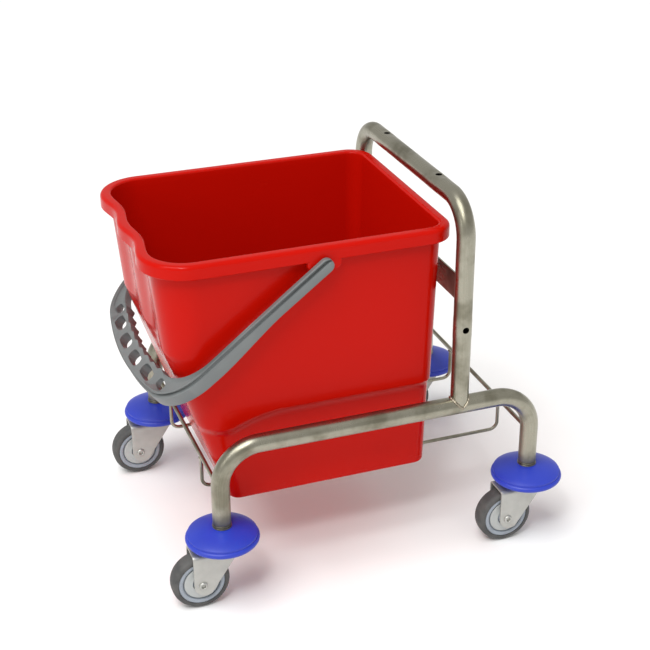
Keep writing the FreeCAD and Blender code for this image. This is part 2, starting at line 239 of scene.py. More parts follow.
def carry(points, heading, flat_normal, section):
    """Section carried along a line in one plane: point + p * (normal x heading) + q * normal,
    with section[i, j] = (p, q) at station i."""
    normal = np.broadcast_to(np.array(flat_normal, float), heading.shape)
    side = np.cross(normal, heading)
    return points[:, None] + section[..., :1] * side[:, None] + section[..., 1:] * normal[:, None]


def quads(rows, columns, wrap_rows=False, wrap_columns=False):
    """Faces of a grid of points, as (row, column) steps taken round each small square."""
    i = np.arange(rows if wrap_rows else rows - 1)[:, None]
    j = np.arange(columns if wrap_columns else columns - 1)[None, :]
    i2, j2 = (i + 1) % rows, (j + 1) % columns
    return np.stack(np.broadcast_arrays(i * columns + j, i2 * columns + j, i2 * columns + j2, i * columns + j2), -1)


def piece(name, shells, finish, body, nodes, crease=38.0):
    """Mesh of closed shells, each (points in mm, faces, laid coordinates or None), doubles merged,
    normals outward, joined to its body in place of CAD nodes."""
    where, faces, laid, start = [], [], [], 0
    for points, loops, straight in shells:
        flat = points.reshape(-1, 3)
        where.append(flat)
        laid.append(flat if straight is None else straight.reshape(-1, 3))
        faces += (loops.reshape(-1, 4) + start).tolist()
        start += len(flat)
    mesh = bpy.data.meshes.new(name)
    mesh.from_pydata((np.concatenate(where) * MM).tolist(), [], faces)
    straightened = mesh.attributes.new("laid", "FLOAT_VECTOR", "POINT").data
    straightened.foreach_set("vector", np.concatenate(laid).ravel() * MM)
    work = bmesh.new()
    work.from_mesh(mesh)
    bmesh.ops.remove_doubles(work, verts=work.verts, dist=1e-6)
    bmesh.ops.recalc_face_normals(work, faces=work.faces)
    work.to_mesh(mesh)
    work.free()
    mesh.polygons.foreach_set("use_smooth", np.ones(len(mesh.polygons), bool))
    mesh.set_sharp_from_angle(angle=math.radians(crease))
    mesh.materials.append(finish)
    made = bpy.data.objects.new(name, mesh)
    bpy.context.scene.collection.objects.link(made)
    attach(made, body)
    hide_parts(*nodes)
    return made


def opened(across, along, centre_at, half_across, half_along, core):
    """Grid lines pulled round an opening. With u, v the place in the square round it from -1 to 1 and
    m = max(|u|, |v|), the line m = core lies on the outline and the line m = 1 stays where it was.
    Gives how far each point has gone to its outline, its angle, and whether it is inside the opening."""
    u = (across - centre_at[0]) / half_across
    v = (along - centre_at[1]) / half_along
    m = np.maximum(abs(u), abs(v))
    pull = np.clip((1 - m) / (1 - core), 0, 1)
    return pull, np.arctan2(v, u), m < core - 1e-6


def holed(keep_out, first, second):
    """Faces of two skins on one grid of cells, leaving the cells in keep_out open, with a wall
    round each opening and the skins' numbering given by first and second."""
    skin = [np.stack([n[:-1, :-1], n[1:, :-1], n[1:, 1:], n[:-1, 1:]], -1)[~keep_out] for n in (first, second)]
    walls = []
    rows = keep_out[:, 1:] != keep_out[:, :-1]
    walls.append(np.stack([first[:-1, 1:-1], first[1:, 1:-1], second[1:, 1:-1], second[:-1, 1:-1]], -1)[rows])
    columns = keep_out[1:] != keep_out[:-1]
    walls.append(np.stack([first[1:-1, :-1], first[1:-1, 1:], second[1:-1, 1:], second[1:-1, :-1]], -1)[columns])
    return np.concatenate(skin + walls)


def tube(corners, bend_r, outer_r, wall, flat_normal, holes=(), hole_r=4.5):
    """Closed tube with round cross holes. Round each hole the wall is pressed flat: its height along the
    hole's axis is capped, and the cap fades out along the tube by a smooth step."""
    sides, spread, patch_steps, core = 64, 8.8, 8, 3 / 8
    length = bent_line(corners, bend_r)[2]
    stations = np.arange(0, length, 4.0)
    for hole in holes:
        stations = stations[abs(stations - hole) > spread + 1]
        stations = np.r_[stations, hole + np.linspace(-spread, spread, 2 * patch_steps + 1)]
    stations = np.sort(np.r_[stations, length])
    heading = bent_line(corners, bend_r, stations)[1]
    angle = np.linspace(0, 2 * math.pi, sides + 1)
    s, a = np.meshgrid(stations, angle, indexing="ij")
    half_angle = patch_steps * 2 * math.pi / sides
    keep_out = np.zeros((len(stations) - 1, sides), bool)
    mid_s, mid_a = (s[1:, 1:] + s[:-1, :-1]) / 2, (a[1:, 1:] + a[:-1, :-1]) / 2
    skins = []
    for r, cap in ((outer_r, outer_r - 1.1), (outer_r - wall, outer_r - wall - 1.1)):
        along, p, q = s.copy(), r * np.cos(a), r * np.sin(a)
        for hole in holes:
            for face in (0, math.pi):
                local = np.mod(a - face + math.pi, 2 * math.pi) - math.pi
                pull, swing, _ = opened(s, local, (hole, 0), spread, half_angle, core)
                across = r * np.sin(local)
                new_across = across + pull * (hole_r * np.sin(swing) - across)
                along = along + pull * (hole + hole_r * np.cos(swing) - s)
                height = np.sqrt(np.maximum(r * r - new_across ** 2, 0))
                touched = pull > 0
                sign = math.cos(face)
                p = np.where(touched, sign * height, p)
                q = np.where(touched, sign * new_across, q)
                local_mid = np.mod(mid_a - face + math.pi, 2 * math.pi) - math.pi
                keep_out |= opened(mid_s, local_mid, (hole, 0), spread, half_angle, core)[2]
            fade = np.clip((abs(along - hole) - 11) / 7, 0, 1)
            press = 1 - fade * fade * (3 - 2 * fade)
            p = p + press * (np.clip(p, -cap, cap) - p)
            q = q * (1 + 0.03 * press)
        base = bent_line(corners, bend_r, along.ravel())[0]
        normal = np.array(flat_normal, float)
        side = np.cross(normal, heading)
        skin = base.reshape(*along.shape, 3) + p[..., None] * side[:, None] + q[..., None] * normal
        skins.append((skin, np.stack([p, q, along], -1)))
    count = skins[0][0].shape[0] * skins[0][0].shape[1]
    numbers = np.arange(count).reshape(skins[0][0].shape[:2])
    faces = holed(keep_out, numbers, numbers + count)
    rims = (numbers[0], numbers[-1])
    ends = [np.stack([rim[:-1], rim[1:], rim[1:] + count, rim[:-1] + count], -1) for rim in rims]
    faces = np.concatenate([faces] + ends)
    points, laid = (np.concatenate([skin[k].reshape(-1, 3) for skin in skins]) for k in (0, 1))
    return points, faces, laid


def steel(name, colour, shade, gloss, tinted):
    """Satin stainless: fine polishing lines along the bar, cloudy stains, and a straw tint."""
    finish = Finish(name)
    bar = finish.laid()
    lines = finish.cloud(finish.stretched(bar, 900, 900, 14), 1.0, 2.0)
    rings = finish.cloud(finish.stretched(bar, 60, 60, 700), 1.0, 2.0)
    stain = finish.cloud(finish.place(), 22.0, 4.0)
    mark = finish.band(stain, 0.42, 0.68)
    return finish.shader({
        "Base Color": finish.tint(mark * 0.6 + lines * 0.35, colour, shade),
        "Metallic": finish.band(stain, 0.3, 0.8, 1.0, tinted),
        "Roughness": gloss + lines * 0.12 + rings * 0.05 + mark * 0.08,
        "Normal": finish.bump(lines * 0.6 + rings * 0.4, 0.00008, 0.5),
    })


tube_steel = steel("satin_stainless", (0.40, 0.385, 0.315), (0.15, 0.14, 0.095), 0.2, 0.96)
tube_r, tube_wall, rail_bend_r, handle_bend_r = 12.5, 1.5, 55.0, 48.0
rail_low, rail_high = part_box("side_rail_left")
legs_x = {"front": rail_low.x / MM + tube_r, "rear": rail_high.x / MM - tube_r}
rail_y = {"left": centre("side_rail_left")[1], "right": centre("side_rail_right")[1]}
leg_low, rail_z = rail_low.z / MM, rail_high.z / MM - tube_r
handle_x = centre("push_handle")[0]
handle_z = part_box("push_handle")[1].z / MM - tube_r
for side, y in rail_y.items():
    route = [(legs_x["front"], y, leg_low), (legs_x["front"], y, rail_z),
             (legs_x["rear"], y, rail_z), (legs_x["rear"], y, leg_low)]
    piece("rail_tube_" + side, [tube(route, rail_bend_r, tube_r, tube_wall, (0, 1, 0))], tube_steel,
          "frame", ["side_rail_" + side], 30)

mounts = {m["name"]: m for m in frame["record"]["mounts"]}
cross_z = mounts["upright_holes"]["pos_m"][2] / MM
bar_pitch = mounts["bar_holes"]["dims"]["spacing_y_mm"]
handle_route = [(handle_x, rail_y["right"], rail_z), (handle_x, rail_y["right"], handle_z),
                (handle_x, rail_y["left"], handle_z), (handle_x, rail_y["left"], rail_z)]
whole_length = bent_line(handle_route, handle_bend_r)[2]
drilled = [cross_z - rail_z, whole_length / 2 - bar_pitch / 2, whole_length / 2 + bar_pitch / 2,
           whole_length - (cross_z - rail_z)]
piece("push_tube", [tube(handle_route, handle_bend_r, tube_r, tube_wall, (1, 0, 0), drilled)], tube_steel,
      "frame", ["push_handle"], 30)


# ---------------------------------------------------------------- cross strip, rods and cradle wires
# A flat bar between the uprights, two 6 mm rods between the legs, and two bent 5 mm wires that
# the bucket stands on. All are welded on, with a small rippled bead at each joint.

def round_bar(corners, bend_r, r, flat_normal):
    """Solid bar: a circle carried along the bent line, closed at each end by a small dome."""
    length = bent_line(corners, bend_r)[2]
    cap = r * (1 - np.cos(np.linspace(0, math.pi / 2, 5)))[:-1] * 0.5
    stations = np.r_[cap, np.arange(r, length - r, 2.0), length - cap[::-1]]
    points, heading, _ = bent_line(corners, bend_r, stations)
    grow = np.ones(len(stations))
    grow[:4] = np.sin(np.linspace(0, math.pi / 2, 5))[:-1]
    grow[-4:] = grow[:4][::-1]
    angle = np.linspace(0, 2 * math.pi, 24, endpoint=False)
    ring = np.stack([np.cos(angle), np.sin(angle)], -1) * r
    section = grow[:, None, None] * ring
    skin = carry(points, heading, flat_normal, section)
    laid = np.concatenate([section, np.broadcast_to(stations[:, None, None], section.shape[:2] + (1,))], -1)
    return skin, quads(len(stations), 24, wrap_columns=True), laid


def bead(line, outward, along, thick):
    """Weld bead: a circle carried round a closed line, its radius rippled by a sine of the turn."""
    count = len(line)
    angle = np.linspace(0, 2 * math.pi, 10, endpoint=False)
    swell = thick * (1 + 0.13 * np.sin(np.arange(count) * 2 * math.pi / 5))[:, None, None]
    offset = np.cos(angle)[None, :, None] * outward[:, None] + np.sin(angle)[None, :, None] * along[:, None]
    return line[:, None] + swell * offset, quads(count, 10, True, True), None


def ring_bead(at, axis, r, thick, count=40):
    """Bead round a bar of radius r that runs along axis (0, 1, 2 for X, Y, Z) and ends at 'at'."""
    angle = np.linspace(0, 2 * math.pi, count, endpoint=False)
    others = [k for k in range(3) if k != axis]
    outward = np.zeros((count, 3))
    outward[:, others[0]], outward[:, others[1]] = np.cos(angle), np.sin(angle)
    along = np.zeros((count, 3))
    along[:, axis] = 1
    return bead(np.array(at) + outward * r, outward, along, thick)


weld_steel = steel("weld_tint", (0.42, 0.38, 0.30), (0.20, 0.16, 0.12), 0.36, 0.9)
rod_r, wire_r, wire_bend_r = 3.0, 2.5, 12.0
beads = []
for end in ("front", "rear"):
    rod_x, _, rod_z = centre("cross_rod_" + end)
    reach = rail_y["left"] - tube_r + 0.5
    piece("cross_bar_" + end, [round_bar([(rod_x, -reach, rod_z), (rod_x, reach, rod_z)], 1.0, rod_r, (1, 0, 0))],
          tube_steel, "frame", ["cross_rod_" + end])
    beads += [ring_bead((rod_x, k * (reach - 0.7), rod_z), 1, rod_r + 0.4, 1.2) for k in (-1, 1)]
for side in ("left", "right"):
    wire_y = centre("cradle_wire_" + side)[1]
    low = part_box("cradle_wire_" + side)[0].z / MM + wire_r
    route = [(legs_x["front"], wire_y, rod_z), (legs_x["front"], wire_y, low),
             (legs_x["rear"], wire_y, low), (legs_x["rear"], wire_y, rod_z)]
    piece("cradle_bar_" + side, [round_bar(route, wire_bend_r, wire_r, (0, 1, 0))], tube_steel,
          "frame", ["cradle_wire_" + side])
    beads += [ring_bead((legs_x[end], wire_y, rod_z - rod_r), 2, wire_r + 0.3, 1.1) for end in ("front", "rear")]

strip_low, strip_high = [np.array(v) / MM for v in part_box("cross_strip")]


def plate(low, high, edge):
    """Flat bar standing across the trolley: a rounded rectangle in X and Z carried along Y, its ends
    drawn in to a point at the middle."""
    angle = np.linspace(0, 2 * math.pi, 32, endpoint=False)
    middle, half = (low + high) / 2, (high - low) / 2
    cx, cz = half[0] - edge, half[2] - edge
    c, s = np.cos(angle), np.sin(angle)
    section = np.stack([np.sign(c) * cx + edge * c, np.sign(s) * cz + edge * s], -1)
    stations = np.r_[low[1], low[1], np.linspace(low[1], high[1], 30), high[1], high[1]]
    grow = np.r_[0, 0.5, np.ones(30), 0.5, 0][:, None]
    along = np.broadcast_to(stations[:, None], (34, 32))
    skin = np.stack([middle[0] + section[:, 0] * grow, along, middle[2] + section[:, 1] * grow], -1)
    laid = np.stack([skin[..., 0], skin[..., 2], skin[..., 1]], -1)
    return skin, quads(34, 32, wrap_columns=True), laid


piece("strip_plate", [plate(strip_low, strip_high, 0.8)], tube_steel, "frame", ["cross_strip"])

turns = np.linspace(0, 2 * math.pi, 90, endpoint=False)
for y in rail_y.values():
    outward = np.stack([np.cos(turns), np.sin(turns), np.zeros(90)], -1)
    saddle = np.array([handle_x, y, rail_z]) + tube_r * outward
    saddle[:, 2] += tube_r * np.sqrt(np.cos(turns) ** 2 + 0.01)
    beads.append(bead(saddle + 0.2 * outward, outward, np.broadcast_to([0.0, 0.0, 1.0], (90, 3)), 1.9))
strip_middle = (strip_low + strip_high) / 2
for y in (strip_low[1], strip_high[1]):
    stadium = np.stack([np.cos(turns), np.zeros(90), np.sin(turns)], -1)
    line = stadium * np.array([1.8, 0, 1.5]) + np.sign(stadium) * np.array([0, 0, 16.5])
    beads.append(bead(line + np.array([strip_middle[0], y, strip_middle[2]]),
                      stadium, np.broadcast_to([0.0, 1.0, 0.0], (90, 3)), 1.2))
piece("weld_beads", beads, weld_steel, "frame", [], 60)


# ---------------------------------------------------------------- bucket
# One injection moulding in glossy red plastic, 3 mm thick: a waved front, a turned-down lip,
# a sloping lower front, a step in each flank to clear the rails, and a boss for each bail pin.

bucket_low, bucket_high = [np.array(v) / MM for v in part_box("bucket")]
rim_z, floor_z = bucket_high[2], bucket_low[2]
rim_front, rim_rear, rim_half = bucket_low[0], bucket_high[0], bucket_high[1]
for joint in frame["joints"]:
    if joint["name"] == "bail_hinge":
        pivot_x, _, pivot_z = np.array(joint["pos_m"]) / MM
    if joint["name"] == "bucket_lift":
        front_slope = -joint["axis"][0] / joint["axis"][2]
crease_z, flute, wall_flute, fade, overhang, skirt, bucket_wall = 352.0, 7.0, 5.2, 30.0, 12.0, 19.0, 3.0
tan_side, tan_rear, tan_front = (math.tan(math.radians(k)) for k in (2.0, 1.5, 5.0))
step_z, step_height, step_depth, step_curve, step_droop = 259.0, 15.0, 7.0, 85.0, 20.0


def loops(z, front, rear, side, front_r, rear_r, wave, stepped=False):
    """Plan outlines, one for each height. The front is x = front + wave * (1 - cos(2 pi t)) / 2
    between round corners, with t from -1 to 1 across it, and the flanks are flat. Below the step each
    flank is drawn in by a ramp of height, whose top edge drops by the square of the distance over the
    last stretch to the front. One value of each a height."""
    columns = np.broadcast_arrays(z, front, rear, side, front_r, rear_r, wave)
    z, front, rear, side, front_r, rear_r, wave = (np.asarray(k, float)[:, None] for k in columns)
    start, stop = front + front_r, rear - rear_r
    t = np.linspace(0, 1, 71)[None, 1:]
    x = start + (stop - start) * t
    ahead = np.clip(1 - (x - start) / step_curve, 0, 1)
    fall = np.clip((step_z - step_droop * ahead ** 2 - z) / step_height, 0, 1)
    soft = fall * fall * (3 - 2 * fall)
    drawn = stepped * step_depth * (soft + (fall * (2 - fall) - soft) * (1 - ahead) ** 0.5)
    front_side = side - drawn[:, :1]
    t = np.linspace(-1, 1, 129)[None]
    bay = front_side - front_r
    front_line = np.stack(np.broadcast_arrays(front + wave * 0.5 * (1 - np.cos(2 * math.pi * t)), t * bay, z), -1)
    q = np.linspace(0, math.pi / 2, 25)[None, 1:]
    corner = np.stack(np.broadcast_arrays(front + front_r - front_r * np.cos(q), bay + front_r * np.sin(q), z), -1)
    flank = np.stack(np.broadcast_arrays(x, side - drawn, z), -1)
    q = np.linspace(0, math.pi / 2, 15)[None, 1:]
    rear_side = side - drawn[:, -1:]
    rear_corner = np.stack(np.broadcast_arrays(stop + rear_r * np.sin(q), rear_side - rear_r + rear_r * np.cos(q), z), -1)
    half = np.concatenate([corner, flank, rear_corner], 1)
    t = np.linspace(1, -1, 25)[None, 1:-1]
    back = np.stack(np.broadcast_arrays(rear, t * (rear_side - rear_r), z), -1)
    return np.concatenate([front_line, half, back, half[:, ::-1] * np.array([1, -1, 1])], 1)


def wall_loops(z, inset):
    """Outlines of the wall at heights z, moved in by inset from its outer face."""
    z, inset = np.broadcast_arrays(np.asarray(z, float), np.asarray(inset, float))
    down = rim_z - z
    upper = np.minimum(down, rim_z - crease_z)
    lower = down - upper
    front = rim_front + overhang + upper * tan_front + lower * front_slope
    side = rim_half - overhang - down * tan_side
    rear = rim_rear - overhang - down * tan_rear
    shrink = 12.0 * down / (rim_z - floor_z)
    tighten = 24.0 * np.maximum(step_z - z, 0) / (step_z - floor_z)
    arch = np.clip(lower / fade, 0, 1)
    front_r, rear_r = 50 - shrink - tighten - inset, 24 - shrink / 2 - inset
    return loops(z, front + inset, rear - inset, side - inset, front_r, rear_r,
                 wall_flute * (1 - arch * arch), True)


def rim_loops(z, inset):
    """Outlines of the lip at heights z, moved in by inset from its outer edge."""
    z, inset = np.broadcast_arrays(np.asarray(z, float), np.asarray(inset, float))
    return loops(z, rim_front + inset, rim_rear - inset, rim_half - inset, 62 - inset, 36 - inset, flute)


def drawn_in(loop, middle, steps):
    """Rings from a loop to one point: the loop shrunk about the middle, evenly."""
    k = np.linspace(1, 0, steps + 1)[1:, None, None]
    return middle + (loop - middle) * k


outer_heights = np.r_[np.linspace(floor_z + 4, step_z - step_height - 24, 14),
                      np.linspace(step_z - step_height - 22, step_z, 26),
                      np.linspace(step_z + 3, crease_z - fade, 12), np.linspace(crease_z - fade + 2, crease_z + 3, 18),
                      np.linspace(crease_z + 8, rim_z - 5.0, 22)]
q = np.linspace(0, math.pi / 2, 7)
foot = wall_loops(floor_z + 4 * (1 - np.sin(q)), 4 * (1 - np.cos(q)))[::-1]
outside = wall_loops(outer_heights[1:], 0.0)
under = rim_loops(rim_z - 3.4 - np.array([0.0, 0.2, 0.8]), np.array([overhang - 1.0, 4.2, bucket_wall]))
skirt_in = rim_loops(np.linspace(rim_z - 6, rim_z - skirt + 1.2, 5), bucket_wall)
skirt_lip = rim_loops(rim_z - skirt + np.array([0.35, 0.0, 0.35]), np.array([2.4, 1.5, 0.6]))
skirt_out = rim_loops(np.linspace(rim_z - skirt + 1.2, rim_z - 5.0, 6), 0.0)
crown = rim_loops(rim_z - 5.0 * (1 - np.sin(q[1:])), 5.0 * (1 - np.cos(q[1:])))
flat_top = rim_loops(np.array([rim_z, rim_z]), np.array([8.0, 10.5]))
mouth = wall_loops(rim_z - 3.0 * (1 - np.cos(q)), bucket_wall - 3.0 * (1 - np.sin(q)))
inner_heights = outer_heights[::-1][outer_heights[::-1] < rim_z - 6]
inner_heights = inner_heights[inner_heights > floor_z + 14]
inside = wall_loops(inner_heights, bucket_wall)
sole = wall_loops(floor_z + bucket_wall + 8 * (1 - np.sin(q)), bucket_wall + 8 * (1 - np.cos(q)))
under_middle = np.array([pivot_x + 55, 0, floor_z])
rings = np.concatenate([drawn_in(foot[:1], under_middle, 8)[::-1], foot, outside, under,
                        skirt_in, skirt_lip, skirt_out, crown, flat_top, mouth, inside, sole, drawn_in(sole[-1:], under_middle + (0, 0, bucket_wall), 8)])
bucket_skin = (rings, quads(*rings.shape[:2], wrap_columns=True), None)


def pin_boss(sign):
    """Thickening under the lip: a U-shaped face in X and Z, carried outwards in Y and rounded over
    its outer edge, |y| = face - r (1 - sin) while the outline shrinks by r (1 - cos)."""
    width, low_z, high_z, corner_r, edge = 23.0, pivot_z - 9.5, rim_z - skirt + 4.0, 9.0, 2.2
    a = np.linspace(0, math.pi / 2, 9)
    right_low = np.stack([width - corner_r + corner_r * np.sin(a), low_z + corner_r - corner_r * np.cos(a)], -1)
    outline = np.concatenate([right_low, [[width, high_z], [0, high_z], [-width, high_z]], right_low[::-1] * np.array([-1, 1])])
    middle = np.array([0, (low_z + high_z) / 2])
    a = np.linspace(0, math.pi / 2, 6)
    face = rim_half - 0.05
    depth = np.r_[face - 14, face - 14, face - edge * (1 - np.sin(a)), face]
    inset = np.r_[1.0, 0.0, edge * (1 - np.cos(a)) / 12, 1.0]
    flat = middle + (outline - middle) * (1 - inset)[:, None, None]
    skin = np.stack([pivot_x + flat[..., 0], np.broadcast_to(sign * depth[:, None], flat.shape[:2]), flat[..., 1]], -1)
    return skin, quads(*skin.shape[:2], wrap_columns=True), None


red = Finish("red_moulding")
place = red.place()
grain = red.cloud(place, 260.0, 2.0)
cloudy = red.cloud(place, 7.0, 4.0)
scuff = red.band(red.cloud(red.stretched(place, 14, 14, 40), 1.0, 4.0), 0.5, 0.8)
height_on = red.part(place, "Z")
# The mask on the next line picks the lowest part of the bucket in cloudy patches. There the red is painted darker as
# painted shade near the floor, and the surface is made rougher as wear.
low_shade_and_wear = red.band(height_on, 0.12, 0.2, 1.0, 0.0) * red.band(cloudy, 0.45, 0.6)
red_plastic = red.shader({
    "Base Color": red.tint(cloudy * 0.5 + low_shade_and_wear * 0.4, (0.53, 0.005, 0.001), (0.47, 0.004, 0.001)),
    "Roughness": 0.15 + cloudy * 0.08 + scuff * 0.08 + low_shade_and_wear * 0.1,
    "Specular IOR Level": 0.1,
    "Normal": red.bump(grain * 0.4 + cloudy * 0.6, 0.0002, 0.1),
})
piece("bucket_shell", [bucket_skin, pin_boss(1), pin_boss(-1)], red_plastic, "bucket", ["bucket"], 34)


# ---------------------------------------------------------------- bail handle
# A grey moulding hinged on two pins in the bucket's bosses: two grooved arms that run round
# rounded corners into a bowed grip, which is pierced by long cells and has finger knobs inside.

def half_u(reach, half_width, bow_r, corner_r):
    """Half of one edge of the bail drawn flat: an arm along X that ends round the pin, an arc of corner_r,
    and an arc of bow_r to the middle of the grip. Both arcs share a tangent where they meet."""
    bow_x = bow_r - reach
    corner_y = half_width - corner_r
    corner_x = bow_x - math.sqrt((bow_r - corner_r) ** 2 - corner_y ** 2)
    spread = math.asin(corner_y / (bow_r - corner_r))
    arm_x = np.r_[9.3 * np.cos(np.linspace(0, math.pi / 2, 9)), np.linspace(0, corner_x, 62)[1:]]
    arm = np.stack([arm_x, np.full_like(arm_x, half_width)], -1)
    a = np.linspace(0, math.pi / 2 - spread, 33)[1:]
    bend = np.stack([corner_x - corner_r * np.sin(a), corner_y + corner_r * np.cos(a)], -1)
    a = np.linspace(spread, 0, 56)[1:]
    bow = np.stack([bow_x - bow_r * np.cos(a), bow_r * np.sin(a)], -1)
    half = np.concatenate([arm, bend, bow])
    return np.concatenate([half, half[-2::-1] * np.array([1, -1])])


arm_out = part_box("bail_handle")[1].y / MM
arm_in = arm_out - 7.0
outer_edge = half_u(289.0, arm_out, 550.0, 70.0)
inner_edge = half_u(262.0, arm_in, 520.0, 62.0)
stations = len(outer_edge)
middle_line = (outer_edge + inner_edge) / 2
travel = np.r_[0, np.cumsum(np.linalg.norm(np.diff(middle_line, axis=0), axis=1))]
travel -= travel[-1] / 2
outward = outer_edge - inner_edge
width = np.linalg.norm(outward, axis=1)
outward = outward / width[:, None]
gripping = np.clip((width - 9) / 16, 0, 1)
gripping = gripping * gripping * (3 - 2 * gripping)
flare = np.clip((-middle_line[:, 0] - 75) / 110, 0, 1) * np.clip(abs(travel) / 150, 0, 1)
flare = flare * flare * (3 - 2 * flare)
half_thick = np.interp(-middle_line[:, 0], [0, 150], [9.3, 9.0])
half_thick = half_thick - 1.1 * gripping
half_thick[:9] = np.sqrt(np.maximum(9.3 ** 2 - outer_edge[:9, 0] ** 2, 0))
half_thick[-9:] = half_thick[:9][::-1]
knobs = 0.5 - 0.5 * np.cos(2 * math.pi * travel / 25.5 + math.pi)
knobs = knobs * gripping * np.clip((120 - abs(travel)) / 14, 0, 1)

across_count = 15
w = np.linspace(0, 1, across_count)
web = inner_edge[:, None] + w[None, :, None] * (outer_edge - inner_edge)[:, None]
web = web - (outward * (3.2 * knobs)[:, None])[:, None] * (1 - w[None, :, None]) ** 3
keep_out = np.zeros((stations - 1, across_count - 1), bool)
index = np.arange(stations)[:, None] + 0 * np.arange(across_count)[None]
column = 0 * index + np.arange(across_count)[None]
cell_r, bow_middle = 535.0, 261.0
cells = ((25.5, 37, 15.5, 10, 8), (76.5, 37, 15.5, 10, 8), (119, 23, 12.5, 7, 5))
for side in (-1, 1):
    for arc_length, length, breadth, reach, core in cells:
        a = side * arc_length / cell_r
        at = np.array([bow_middle - cell_r * math.cos(a), cell_r * math.sin(a)])
        nearest = int(np.argmin(np.linalg.norm(middle_line - at, axis=1)))
        at = middle_line[nearest] + outward[nearest] * -0.8
        forward = np.array([-outward[nearest][1], outward[nearest][0]])
        if (middle_line[nearest + 1] - middle_line[nearest]) @ forward < 0:
            forward = -forward
        centre_row = (nearest, (across_count - 1) / 2)
        core_part = core / reach
        pull, angle, _ = opened(index, column, centre_row, reach, 6.0, core_part)
        c, s = np.cos(angle), np.sin(angle)
        m = np.maximum(abs(c), abs(s))
        c, s = c / m, s / m
        power = 3.2
        size = (abs(c) ** power + abs(s) ** power) ** (1 / power)
        shape = at + (c / size * length / 2)[..., None] * forward + (s / size * breadth / 2)[..., None] * outward[nearest]
        web = web + pull[..., None] * (shape - web)
        mid_i, mid_j = index[:-1, :-1] + 0.5, column[:-1, :-1] + 0.5
        keep_out |= opened(mid_i, mid_j, centre_row, reach, 6.0, core_part)[2]

sink = np.clip(w / 0.1, 0, 1) * np.clip((0.93 - w) / 0.12, 0, 1)
channel = np.clip((abs(travel) - 88) / 22, 0, 1)
channel = channel * channel * (3 - 2 * channel)
knob_rise = gripping[:, None] * 2.4 * knobs[:, None] * np.clip(1 - w[None] / 0.12, 0, 1)
relief = gripping[:, None] * (1.0 + 4.2 * channel[:, None]) * sink[None] - knob_rise
soft_edge = np.where((w == 0) | (w == 1), 0.9, 0.0)[None] * (0.5 + 0.5 * gripping[:, None])
top = half_thick[:, None] - np.minimum(relief + soft_edge, half_thick[:, None] * 0.7)
closing = np.clip(half_thick / 8.0, 0, 1)[:, None]
outside_shape = np.array([(0.5, 0.98), (0.8, 0.94), (0.8, 0.84), (0.4, 0.80), (-4.0, 0.76), (-4.4, 0.68), (-4.4, 0.36), (-4.0, 0.28),
                          (1.0, 0.24), (1.5, 0.17), (1.5, -0.84), (0.8, -0.96)])
ledge = np.array([0, 0, 0, 0, 0, 0, 0, 0, 0.9, 1, 1, 0.9])
out_reach = (outside_shape[:, 0] + 3.4 * ledge * flare[:, None]) * closing
out_face = outer_edge[:, None] + outward[:, None] * out_reach[..., None]
out_height = half_thick[:, None] * outside_shape[None, :, 1] - 8.0 * flare[:, None] * (outside_shape[None, :, 1] < -0.5)
in_depth = (0.8 + 3.2 * knobs[:, None]) * gripping[:, None] * np.array([0.8, 1, 1, 0.8])
in_face = inner_edge[:, None] - outward[:, None] * in_depth[..., None]
in_height = half_thick[:, None] * np.array([-0.8, -0.3, 0.3, 0.8])
low_edge = -top[:, ::-1] - 8.0 * flare[:, None] * np.linspace(1, 0, across_count) ** 2
flat_xy = np.concatenate([web, out_face, web[:, ::-1], in_face], 1)
flat_z = np.concatenate([top, out_height, low_edge, in_height], 1)
lean = math.radians(37.5)
bail_skin = np.stack([pivot_x + flat_xy[..., 0] * math.cos(lean) - flat_z * math.sin(lean),
                      flat_xy[..., 1],
                      pivot_z + flat_xy[..., 0] * math.sin(lean) + flat_z * math.cos(lean)], -1)
around = flat_xy.shape[1]
numbers = np.arange(stations * around).reshape(stations, around)
top_numbers = numbers[:, :across_count]
bottom_numbers = numbers[:, across_count + 12:2 * across_count + 12][:, ::-1]
bail_faces = holed(keep_out, top_numbers, bottom_numbers)
side_numbers = [numbers[:, across_count - 1:across_count + 13], numbers[:, [*range(2 * across_count + 11, around), 0]]]
for block in side_numbers:
    strip = np.stack([block[:-1, :-1], block[1:, :-1], block[1:, 1:], block[:-1, 1:]], -1)
    bail_faces = np.concatenate([bail_faces, strip.reshape(-1, 4)])

pin_rings = np.array([(0, 0), (3.4, 0), (4, 0.8), (4, 9.4), (0, 9.4)])


def turned(profile, middle, axis, steps=72, joined=False):
    """Surface of revolution: each (radius, height) of the profile goes once round the axis, a unit
    vector, at that height from the middle."""
    profile = np.array(profile, float)
    axis = np.array(axis, float)
    first = np.cross(axis, [0, 0, 1] if abs(axis[2]) < 0.5 else [1, 0, 0])
    first /= np.linalg.norm(first)
    second = np.cross(axis, first)
    a = np.linspace(0, 2 * math.pi, steps, endpoint=False)
    spoke = np.cos(a)[:, None] * first + np.sin(a)[:, None] * second
    skin = np.array(middle) + profile[:, :1, None] * spoke[None] + profile[:, 1:, None] * axis
    r, height = profile[:, :1], profile[:, 1:]
    laid = np.stack(np.broadcast_arrays(r * np.cos(a), r * np.sin(a), height), -1)
    return skin, quads(len(profile), steps, joined, True), laid


pins = [turned(pin_rings, (pivot_x, sign * (arm_in + 0.4), pivot_z), (0, -sign, 0), 32) for sign in (-1, 1)]
grey = Finish("grey_moulding")
place = grey.place()
grain = grey.cloud(place, 420.0, 2.0)
cloudy = grey.cloud(place, 16.0, 3.0)
grey_plastic = grey.shader({
    "Base Color": grey.tint(cloudy, (0.128, 0.14, 0.143), (0.185, 0.198, 0.198)),
    "Roughness": 0.36 + cloudy * 0.14,
    "Normal": grey.bump(grain, 0.0002, 0.3),
})
piece("bail", [(bail_skin, bail_faces, None)] + pins, grey_plastic, "bail", ["bail_handle"], 40)


# ---------------------------------------------------------------- castors
# Four alike. A blue disc round the leg's foot keeps walls from being marked, and under it a pressed
# zinc fork swivels on a ball race and holds a wheel of grey rubber on a plastic centre.

